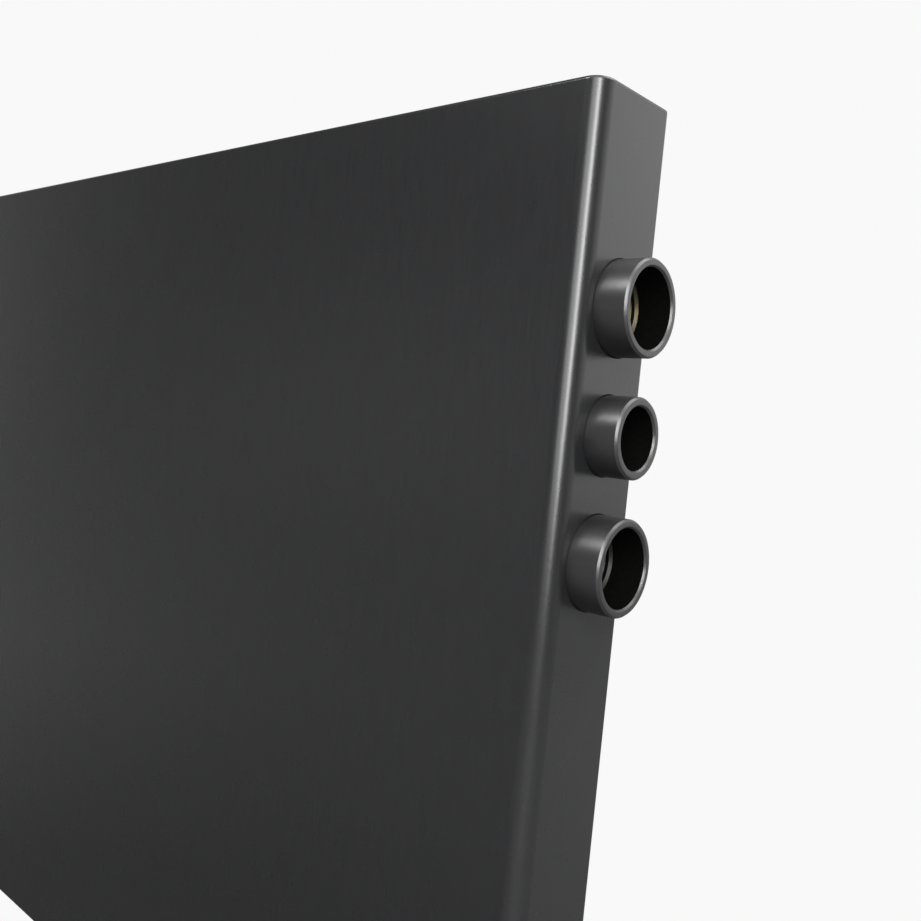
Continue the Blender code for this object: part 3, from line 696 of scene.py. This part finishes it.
for number in range(18):
    weld_x = fin_low.x + number * 0.030 + 0.005
    for tube in range(1, 7):
        tube_low, tube_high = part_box(f"flat_tube_{tube}")
        for share in (0.3, 0.7):
            level = tube_low.z + (tube_high.z - tube_low.z) * share
            if not fin_low.z + 0.004 < level < fin_high.z - 0.004:
                continue
            rows = []
            for spread, lift in ((0.0019, 0.0), (0.0017, 0.00018), (0.0010, 0.00034), (0.0004, 0.00038)):
                rows.append([mesh.verts.new((
                    weld_x + spread * math.cos(angle), fold_front + 0.0003 + lift,
                    level + spread * math.sin(angle),
                )) for angle in (2 * math.pi * step / 12 for step in range(12))])
            for below, above in zip(rows, rows[1:]):
                for step in range(12):
                    beyond = (step + 1) % 12
                    mesh.faces.new((below[step], below[beyond], above[beyond], above[step]))
            mesh.faces.new(rows[-1])
            mesh.faces.new(rows[0][::-1])
bmesh.ops.recalc_face_normals(mesh, faces=mesh.faces)
put(made("spot_welds", mesh, 60.0), "radiator", steel, "steel")


# ---- Baffle -----------------------------------------------------------------------------------
# A bare steel plate tacked inside the right header, which sends the water across and back.
put(eased_copy("header_divider", "header_baffle", 0.0003), "radiator", steel, "steel", "header_baffle")


# ---- Air vent ---------------------------------------------------------------------------------
# A brass vent screwed into the left header's top plate, with a fibre washer, a moulded spout that
# swivels on it, and a slotted bleed screw in the middle.
vent_low, vent_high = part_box("vent_body")
vent_x, vent_y = (vent_low.x + vent_high.x) / 2, (vent_low.y + vent_high.y) / 2
vent_seat = vent_low.z + 0.0100
screw_brass = metal("vent_brass", (0.60, 0.46, 0.20), 0.26, 1800.0, (0.1, 0.1, 1.0))
body = turned("air_vent_body", eased_outline((
    (0.0062, 0.0145), (0.0062, -0.0088), (0.0054, -0.0100), (0.0042, -0.0100),
    (0.0042, 0.0010), (0.0031, 0.0022), (0.0031, 0.0145),
), 0.0002), 64)
body.location = (vent_x, vent_y, vent_seat)
put(body, "radiator", screw_brass, "brass", "vent_body")
hexagon = bmesh.new()
bmesh.ops.create_cone(hexagon, cap_ends=True, segments=6, radius1=0.0098, radius2=0.0098, depth=0.005)
bmesh.ops.bevel(
    hexagon, geom=hexagon.edges[:], offset=0.00035, offset_type="OFFSET", segments=3, profile=0.5,
    affect="EDGES",
)
nut = made("air_vent_hexagon", hexagon, 25.0)
nut.location = (vent_x, vent_y, vent_seat + 0.0043)
hexagon_eye = made("hexagon_eye", rod_mesh(0.0056, 0.02, 48))
hexagon_eye.location = nut.location
punch(nut, hexagon_eye)
nut.data.shade_smooth()
nut.data.set_sharp_from_angle(angle=math.radians(25))
put(nut, "radiator", screw_brass, "brass")
washer = turned("air_vent_washer", eased_outline((
    (0.0098, 0.0015), (0.0098, 0.0003), (0.0066, 0.0003), (0.0066, 0.0015),
), 0.0002), 64)
washer.location = (vent_x, vent_y, vent_seat)
put(washer, "radiator", fibre, "seal_fibre", "vent_washer")
moulded = soft_stuff("dark_plastic", (0.030, 0.030, 0.031), (0.040, 0.040, 0.041), 0.52, 1600.0)
put(eased_copy("vent_spout_moulding", "vent_spout", 0.0002, 40.0), "spout", moulded, "dark_plastic",
    "vent_spout")
put(eased_copy("slotted_bleed_screw", "bleed_screw", 0.00015, 40.0), "bleeder", screw_brass, "brass",
    "bleed_screw")


# ---- Drain plug -------------------------------------------------------------------------------
# A brass plug with a hexagon socket, sealed by a fibre washer, in the left header's bottom plate.
put(eased_copy("socket_drain_plug", "drain_plug", 0.0003, 40.0), "radiator", screw_brass, "brass",
    "drain_plug")
drain_low, drain_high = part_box("drain_washer")
washer = turned("drain_plug_washer", eased_outline((
    (0.0125, -0.0003), (0.0125, -0.0018), (0.0086, -0.0018), (0.0086, -0.0003),
), 0.0002), 64)
washer.location = (vent_x, (drain_low.y + drain_high.y) / 2, drain_high.z + 0.0003)
put(washer, "radiator", fibre, "seal_fibre", "drain_washer")


# ---- Top grille -------------------------------------------------------------------------------
# A shallow pressed frame with four rows of slots, dropped into the slot in the casing's top and
# coated with it. It lifts straight out for cleaning.
grate_low, grate_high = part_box("top_grille")
body_x, body_y = 0.3215, 0.0165
window_x, window_y = 0.3205, 0.0155
grate = made("lift_off_grille", box_mesh(
    (-body_x, port_line - body_y, grate_low.z), (body_x, port_line + body_y, grate_high.z),
    (
        (lambda a, b: abs(a.x - b.x) < 1e-6 and abs(a.y - b.y) < 1e-6, 0.0025, 6),
        (lambda a, b: min(a.z, b.z) > grate_high.z - 1e-6, 0.0006, 3),
    ),
))
rim_plate = made("grille_rim", box_mesh(
    (grate_low.x, grate_low.y, grate_high.z - 0.0010), (grate_high.x, grate_high.y, grate_high.z),
    (
        (lambda a, b: abs(a.x - b.x) < 1e-6 and abs(a.y - b.y) < 1e-6, 0.004, 8),
        (lambda a, b: min(a.z, b.z) > grate_high.z - 1e-6, 0.0004, 3),
    ),
))
louvres = bmesh.new()
for row in range(4):
    for bay in range(6):
        x, y = (bay - 2.5) * 0.106, port_line + (row - 1.5) * 0.0078
        ends = []
        for end in (1, -1):
            for step in range(9):
                angle = math.pi * (step / 8 - 0.5)
                ends.append((
                    x + end * (0.0505 - 0.00265 + 0.00265 * math.cos(angle)),
                    y + end * 0.00265 * math.sin(angle),
                ))
        floor_loop = [louvres.verts.new((px, py, grate_low.z - 0.004)) for px, py in ends]
        roof_loop = [louvres.verts.new((px, py, grate_high.z + 0.004)) for px, py in ends]
        louvres.faces.new(floor_loop[::-1])
        louvres.faces.new(roof_loop)
        for spot in range(len(ends)):
            beyond = (spot + 1) % len(ends)
            louvres.faces.new((floor_loop[spot], floor_loop[beyond], roof_loop[beyond], roof_loop[spot]))
bmesh.ops.recalc_face_normals(louvres, faces=louvres.faces)
slot_rows = made("grille_slots", louvres)
punch(rim_plate, made("rim_window", box_mesh(
    (-window_x, port_line - window_y, grate_high.z - 0.01),
    (window_x, port_line + window_y, grate_high.z + 0.01),
    ((lambda a, b: abs(a.x - b.x) < 1e-6 and abs(a.y - b.y) < 1e-6, 0.0020, 6),),
)))
punch(grate, slot_rows)
for part in (grate, rim_plate):
    part.data.shade_smooth()
    part.data.set_sharp_from_angle(angle=math.radians(32))
    settle = part.modifiers.new("even_faces", "WEIGHTED_NORMAL")
    settle.keep_sharp = True
put(grate, "grille", anthracite, "anthracite_coat", "top_grille")
put(rim_plate, "grille", anthracite, "anthracite_coat")


# ---- Cross bars and casing screws -------------------------------------------------------------
# Two zinc plated strips welded to the backs of the headers. They hold the hangers and spacers, and
# take the four pan head screws that hold the casing's back flange.
plated = galvanised("zinc_plate", (0.60, 0.61, 0.60), 0.34, 520.0)
for bar in ("upper_cross_bar", "lower_cross_bar"):
    put(eased_copy(bar + "_strip", bar, 0.0003), "radiator", plated, "zinc_plate", bar)
for corner in ("upper_left", "upper_right", "lower_left", "lower_right"):
    node = "casing_screw_" + corner
    put(eased_copy("pan_head_" + corner, node, 0.00015, 45.0), "radiator", plated, "zinc_plate", node)


# ---- Hangers, rail pads and safety latches ----------------------------------------------------
# Zinc plated steel hooks, each with a moulded pad where it sits on the rail. A latch on a steel
# rivet turns under the rail so that the radiator can't be lifted off by accident.
for hand in ("left", "right"):
    put(eased_copy(f"{hand}_hook", f"hanger_{hand}", 0.0005), "radiator", plated, "zinc_plate",
        f"hanger_{hand}")
    put(eased_copy(f"{hand}_hook_pad", f"rail_pad_{hand}", 0.0003), "radiator", moulded, "dark_plastic",
        f"rail_pad_{hand}")
    put(eased_copy(f"{hand}_turning_latch", f"safety_latch_{hand}", 0.0003, 45.0), f"latch_{hand}",
        plated, "zinc_plate", f"safety_latch_{hand}")
    put(eased_copy(f"{hand}_latch_pin", f"latch_rivet_{hand}", 0.00015, 45.0), "radiator", steel,
        "steel", f"latch_rivet_{hand}")


# ---- Lower spacers ----------------------------------------------------------------------------
# A bent bracket on the lower cross bar holds a fluted thumb nut, which screws a steel rod in and
# out. The rod's foot carries a rubber pad that rests on the wall.
for hand in ("left", "right"):
    put(eased_copy(f"{hand}_spacer_bracket", f"spacer_bracket_{hand}", 0.0004), "radiator", plated,
        "zinc_plate", f"spacer_bracket_{hand}")
    put(eased_copy(f"{hand}_thumb_wheel", f"thumb_nut_{hand}", 0.0004, 32.0), f"nut_{hand}", moulded,
        "dark_plastic", f"thumb_nut_{hand}")
    foot_low, foot_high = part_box(f"spacer_foot_{hand}")
    wall_y = foot_high.y + 0.0030
    rod = [(0, -0.0030), (0.0150, -0.0030), (0.0150, -0.0048), (0.0070, -0.0068), (0.00405, -0.0068)]
    ridge = -0.0086
    while ridge > -0.0480:
        rod += [(0.00405, ridge), (0.00345, ridge - 0.00065), (0.00345, ridge - 0.00080),
                (0.00405, ridge - 0.00140)]
        ridge -= 0.0015
    rod += [(0.0034, -0.0500), (0, -0.0500)]
    foot = turned(f"{hand}_threaded_foot", rod, 48, 24.0)
    foot.rotation_euler = (-math.pi / 2, 0, 0)
    foot.location = ((foot_low.x + foot_high.x) / 2, wall_y, (foot_low.z + foot_high.z) / 2)
    put(foot, f"foot_{hand}", steel, "steel", f"spacer_foot_{hand}")
    cushion = turned(f"{hand}_rubber_pad", eased_outline((
        (0, 0), (0.0143, 0), (0.0150, -0.0007), (0.0150, -0.0027), (0, -0.0027),
    ), 0.0003), 64)
    cushion.rotation_euler = (-math.pi / 2, 0, 0)
    cushion.location = foot.location
    put(cushion, f"foot_{hand}", rubber, "foot_rubber", f"foot_pad_{hand}")


# ---- Wall rail --------------------------------------------------------------------------------
# A folded zinc plated hook section, screwed to the wall through four slots. The hangers drop into
# its upward lip.
put(eased_copy("slotted_wall_rail", "wall_rail", 0.0005), "radiator", plated, "zinc_plate", "wall_rail")


# ---- Floor, lights and backdrop ---------------------------------------------------------------
# A pale studio: a plain floor, tall soft boxes in front to the right, smaller ones overhead, and a
# white surround that is brightest behind the ports, overhead and to the left. The floor and the
# surround are seen plain and pale, and give the radiator dimmer reflections than they would; in
# those reflections the floor carries a painted shadow, darkest right under the radiator.
floor_mesh = bmesh.new()
bmesh.ops.create_grid(floor_mesh, x_segments=24, y_segments=24, size=6.0)
for corner in floor_mesh.verts:
    corner.co.z = -0.02 * (corner.co.length / 6.0) ** 2
studio_floor = made("studio_floor", floor_mesh)
bpy.context.scene.collection.objects.link(studio_floor)
studio_floor.location = (0, 0, tray_low.z - 0.120)
pale = bpy.data.materials.new("pale_floor")
pale.use_nodes = True
floor_tree = pale.node_tree
paint = floor_tree.nodes["Principled BSDF"]
paint.inputs["Roughness"].default_value = 0.85
mottle = floor_tree.nodes.new("ShaderNodeTexNoise")
mottle.inputs["Scale"].default_value = 3.0
floor_tone = floor_tree.nodes.new("ShaderNodeValToRGB")
floor_tone.color_ramp.elements[0].color = (0.10, 0.10, 0.10, 1)
floor_tone.color_ramp.elements[1].color = (0.34, 0.34, 0.34, 1)
place = floor_tree.nodes.new("ShaderNodeTexCoord")
floor_tree.links.new(place.outputs["Object"], mottle.inputs["Vector"])
# Painted shadow: as the radiator sees it in reflections and bounced light, the floor is darkest within half a
# metre of the radiator and lightens out to 1.6 m, with a faint random mottle.
reach = floor_tree.nodes.new("ShaderNodeVectorMath")
reach.operation = "LENGTH"
floor_tree.links.new(place.outputs["Object"], reach.inputs[0])
shade = floor_tree.nodes.new("ShaderNodeMapRange")
shade.inputs["From Min"].default_value = 0.5
shade.inputs["From Max"].default_value = 1.6
floor_tree.links.new(reach.outputs["Value"], shade.inputs["Value"])
uneven = floor_tree.nodes.new("ShaderNodeMath")
uneven.operation = "MULTIPLY_ADD"
uneven.inputs[1].default_value = 0.06
floor_tree.links.new(mottle.outputs["Fac"], uneven.inputs[0])
floor_tree.links.new(shade.outputs["Result"], uneven.inputs[2])
floor_tree.links.new(uneven.outputs["Value"], floor_tone.inputs["Fac"])
floor_tree.links.new(floor_tone.outputs["Color"], paint.inputs["Base Color"])
floor_glow = floor_tree.nodes.new("ShaderNodeEmission")
floor_glow.inputs["Color"].default_value = (0.945, 0.945, 0.945, 1)
floor_path = floor_tree.nodes.new("ShaderNodeLightPath")
floor_mix = floor_tree.nodes.new("ShaderNodeMixShader")
floor_tree.links.new(floor_path.outputs["Is Camera Ray"], floor_mix.inputs["Fac"])
floor_tree.links.new(paint.outputs["BSDF"], floor_mix.inputs[1])
floor_tree.links.new(floor_glow.outputs["Emission"], floor_mix.inputs[2])
floor_tree.links.new(floor_mix.outputs["Shader"], floor_tree.nodes["Material Output"].inputs["Surface"])
studio_floor.data.materials.append(pale)


def lamp(name, azimuth, elevation, distance, size, strength):
    """A soft box seen from the ports in one direction, facing them. Azimuth 0 is straight in front."""
    target = Vector((0.33, -0.06, -0.10))
    turn, rise = math.radians(azimuth), math.radians(elevation)
    towards = Vector((math.sin(turn) * math.cos(rise), -math.cos(turn) * math.cos(rise), math.sin(rise)))
    light = bpy.data.lights.new(name, "AREA")
    light.shape = "RECTANGLE"
    light.size, light.size_y = size
    light.energy = strength * size[0] * size[1] * math.pi
    holder = bpy.data.objects.new(name, light)
    bpy.context.scene.collection.objects.link(holder)
    holder.location = target + towards * distance
    holder.rotation_euler = (target - holder.location).to_track_quat("-Z", "Y").to_euler()
    holder.visible_camera = False
    return holder


lamp("front_box", 37, 18, 1.3, (0.92, 1.15), 5.5)
lamp("front_strip", 49.5, 18, 1.3, (0.28, 1.10), 18.0)
lamp("overhead_box", 142, 60, 1.2, (0.9, 0.6), 4.5)
lamp("left_top_box", -24, 45, 1.3, (0.32, 0.28), 31.0)

studio = bpy.data.worlds.new("studio")
bpy.context.scene.world = studio
studio.use_nodes = True
room = studio.node_tree
room.nodes.clear()
sky_out = room.nodes.new("ShaderNodeOutputWorld")
seen = room.nodes.new("ShaderNodeBackground")
seen.inputs["Color"].default_value = (0.945, 0.945, 0.945, 1)
glow = room.nodes.new("ShaderNodeBackground")
glow.inputs["Color"].default_value = (1, 1, 1, 1)
heading = room.nodes.new("ShaderNodeTexCoord")


def facing(direction, start, end, low_value, high_value):
    """How far a direction in the room faces one way, as a value between two levels."""
    match = room.nodes.new("ShaderNodeVectorMath")
    match.operation = "DOT_PRODUCT"
    room.links.new(heading.outputs["Generated"], match.inputs[0])
    match.inputs[1].default_value = direction
    level = room.nodes.new("ShaderNodeMapRange")
    level.interpolation_type = "SMOOTHSTEP"
    level.inputs["From Min"].default_value = start
    level.inputs["From Max"].default_value = end
    level.inputs["To Min"].default_value = low_value
    level.inputs["To Max"].default_value = high_value
    room.links.new(match.outputs["Value"], level.inputs["Value"])
    return level


def combined(operation, first, second):
    """One value from two."""
    step = room.nodes.new("ShaderNodeMath")
    step.operation = operation
    room.links.new(first.outputs[0], step.inputs[0])
    room.links.new(second.outputs[0], step.inputs[1])
    return step


behind = facing((0.53, 0.85, 0.0), 0.48, 0.97, 0.0, 1.0)
climb = facing((0.0, 0.0, 1.0), -0.36, 0.40, 0.62, 1.42)
front_left = facing((-0.59, -0.79, -0.20), 0.90, 1.0, 0.16, 0.62)
above = facing((0.33, -0.27, 0.90), 0.72, 0.96, 0.0, 2.4)
left_side = facing((-0.966, 0.259, 0.0), 0.72, 0.98, 0.0, 0.8)
bright = combined("ADD", combined("ADD", combined("MULTIPLY", behind, climb), front_left), above)
bright = combined("ADD", bright, left_side)
room.links.new(bright.outputs[0], glow.inputs["Strength"])
path = room.nodes.new("ShaderNodeLightPath")
choose = room.nodes.new("ShaderNodeMixShader")
room.links.new(path.outputs["Is Camera Ray"], choose.inputs["Fac"])
room.links.new(glow.outputs["Background"], choose.inputs[1])
room.links.new(seen.outputs["Background"], choose.inputs[2])
room.links.new(choose.outputs["Shader"], sky_out.inputs["Surface"])

bpy.context.scene.view_settings.view_transform = "Standard"
